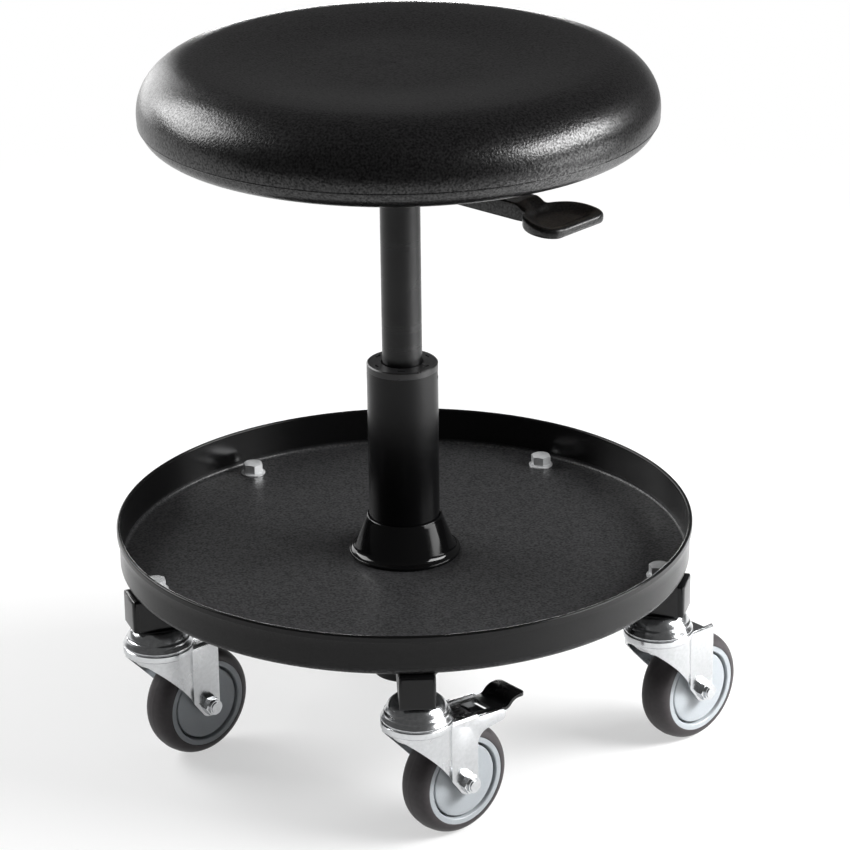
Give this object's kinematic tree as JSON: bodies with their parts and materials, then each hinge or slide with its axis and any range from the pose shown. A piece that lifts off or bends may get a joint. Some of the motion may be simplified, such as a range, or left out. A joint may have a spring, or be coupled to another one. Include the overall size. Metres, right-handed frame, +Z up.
{
  "type": "workshop creeper seat",
  "caption": "Round padded gas-lift work seat on castors with a round tool tray round its column, a release lever and a braked front castor.",
  "frame": {"origin": "on the column's axis, at the floor", "axes": "+Z up along the column; the braked front castor's arm points along -Y; +X to the right of someone who looks at it from the front"},
  "size_m": [0.4386, 0.4128, 0.498],
  "materials": {
    "black_paint": "black powder coat, satin",
    "tray_paint": "black powder coat with a fine texture",
    "black_tube": "black enamel, satin",
    "dark_steel": "black coated pressed steel",
    "black_plastic": "moulded, semi-matt",
    "gloss_black": "moulded, glossy",
    "grey_plastic": "moulded, light grey",
    "tyre": "smooth grey-brown rubber",
    "zinc": "bright zinc plate",
    "plywood": "plain plywood",
    "seat_cover": "integral-skin foam with a fine leather grain"
  },
  "bodies": {
    "base": {"hub": "black_paint", "arm_front": "black_paint", "arm_right": "black_paint", "arm_back_right": "black_paint", "arm_back_left": "black_paint", "arm_left": "black_paint", "arm_caps": "black_plastic", "tray": "tray_paint", "collar": "gloss_black", "column_tube": "black_tube", "guide_bush": "black_plastic", "castor_bolts": "zinc", "castor_races": "zinc", "castor_sleeves": "zinc", "castor_nuts": "zinc", "castor_balls": "zinc", "thrust_bearing": "zinc"},
    "gas_rod": {"piston_rod": "zinc", "piston": "black_plastic", "rod_retainer": "zinc"},
    "seat": {"gas_cylinder": "black_tube", "taper_socket": "dark_steel", "lever_bracket": "dark_steel", "mount_plate": "dark_steel", "seat_pan": "plywood", "cushion": "seat_cover", "seat_bolts": "zinc", "lever_pin": "zinc"},
    "lever": {"lever_arm": "dark_steel", "lever_handle": "black_plastic"},
    "valve_pin": {"release_pin": "zinc"},
    "castor_front": {"fork_front": "zinc", "axle_front": "zinc", "guards_front": "grey_plastic", "brake_pin": "zinc"},
    "wheel_front": {"core_front": "grey_plastic", "tyre_front": "tyre"},
    "castor_right": {"fork_right": "zinc", "axle_right": "zinc", "guards_right": "grey_plastic"},
    "wheel_right": {"core_right": "grey_plastic", "tyre_right": "tyre"},
    "castor_back_right": {"fork_back_right": "zinc", "axle_back_right": "zinc", "guards_back_right": "grey_plastic"},
    "wheel_back_right": {"core_back_right": "grey_plastic", "tyre_back_right": "tyre"},
    "castor_back_left": {"fork_back_left": "zinc", "axle_back_left": "zinc", "guards_back_left": "grey_plastic"},
    "wheel_back_left": {"core_back_left": "grey_plastic", "tyre_back_left": "tyre"},
    "castor_left": {"fork_left": "zinc", "axle_left": "zinc", "guards_left": "grey_plastic"},
    "wheel_left": {"core_left": "grey_plastic", "tyre_left": "tyre"},
    "brake": {"brake_pedal": "black_plastic", "brake_shoe": "zinc", "brake_spring": "zinc"}
  },
  "joints": [
    {"name": "seat_swivel", "type": "hinge", "parent": "base", "child": "gas_rod", "pos_m": [0, 0, 0.05], "axis": [0, 0, 1], "continuous": true},
    {"name": "seat_lift", "type": "slide", "parent": "gas_rod", "child": "seat", "axis": [0, 0, 1], "range_m": [-0.115, 0]},
    {"name": "lever_lift", "type": "hinge", "parent": "seat", "child": "lever", "pos_m": [0.02132, -0.0211, 0.438], "axis": [-0.7034, -0.7108, 0], "range_deg": [0, 6], "stiffness_Nm_per_rad": 3},
    {"name": "valve_press", "type": "slide", "parent": "seat", "child": "valve_pin", "axis": [0, 0, -1], "range_m": [0, 0.0032]},
    {"name": "castor_front_swivel", "type": "hinge", "parent": "base", "child": "castor_front", "pos_m": [0, -0.1845, 0.092], "axis": [0, 0, 1], "continuous": true},
    {"name": "wheel_front_roll", "type": "hinge", "parent": "castor_front", "child": "wheel_front", "pos_m": [0.0252, -0.16544, 0.04], "axis": [-0.6032, 0.7976, 0], "continuous": true},
    {"name": "castor_right_swivel", "type": "hinge", "parent": "base", "child": "castor_right", "pos_m": [0.17547, -0.05701, 0.092], "axis": [0, 0, 1], "continuous": true},
    {"name": "wheel_right_roll", "type": "hinge", "parent": "castor_right", "child": "wheel_right", "pos_m": [0.19982, -0.03687, 0.04], "axis": [-0.6374, 0.7705, 0], "continuous": true},
    {"name": "castor_back_right_swivel", "type": "hinge", "parent": "base", "child": "castor_back_right", "pos_m": [0.10845, 0.14926, 0.092], "axis": [0, 0, 1], "continuous": true},
    {"name": "wheel_back_right_roll", "type": "hinge", "parent": "castor_back_right", "child": "wheel_back_right", "pos_m": [0.13283, 0.16936, 0.04], "axis": [-0.6361, 0.7716, 0], "continuous": true},
    {"name": "castor_back_left_swivel", "type": "hinge", "parent": "base", "child": "castor_back_left", "pos_m": [-0.10845, 0.14926, 0.092], "axis": [0, 0, 1], "continuous": true},
    {"name": "wheel_back_left_roll", "type": "hinge", "parent": "castor_back_left", "child": "wheel_back_left", "pos_m": [-0.08406, 0.16936, 0.04], "axis": [-0.6361, 0.7716, 0], "continuous": true},
    {"name": "castor_left_swivel", "type": "hinge", "parent": "base", "child": "castor_left", "pos_m": [-0.17547, -0.05701, 0.092], "axis": [0, 0, 1], "continuous": true},
    {"name": "wheel_left_roll", "type": "hinge", "parent": "castor_left", "child": "wheel_left", "pos_m": [-0.15102, -0.037, 0.04], "axis": [-0.6334, 0.7738, 0], "continuous": true},
    {"name": "brake_press", "type": "hinge", "parent": "castor_front", "child": "brake", "pos_m": [0.02425, -0.16616, 0.084], "axis": [-0.6032, 0.7976, 0], "range_deg": [0, 8]}
  ],
  "couplings": [
    {"joint": "valve_press", "follows": "lever_lift", "m_per_rad": 0.03}
  ]
}
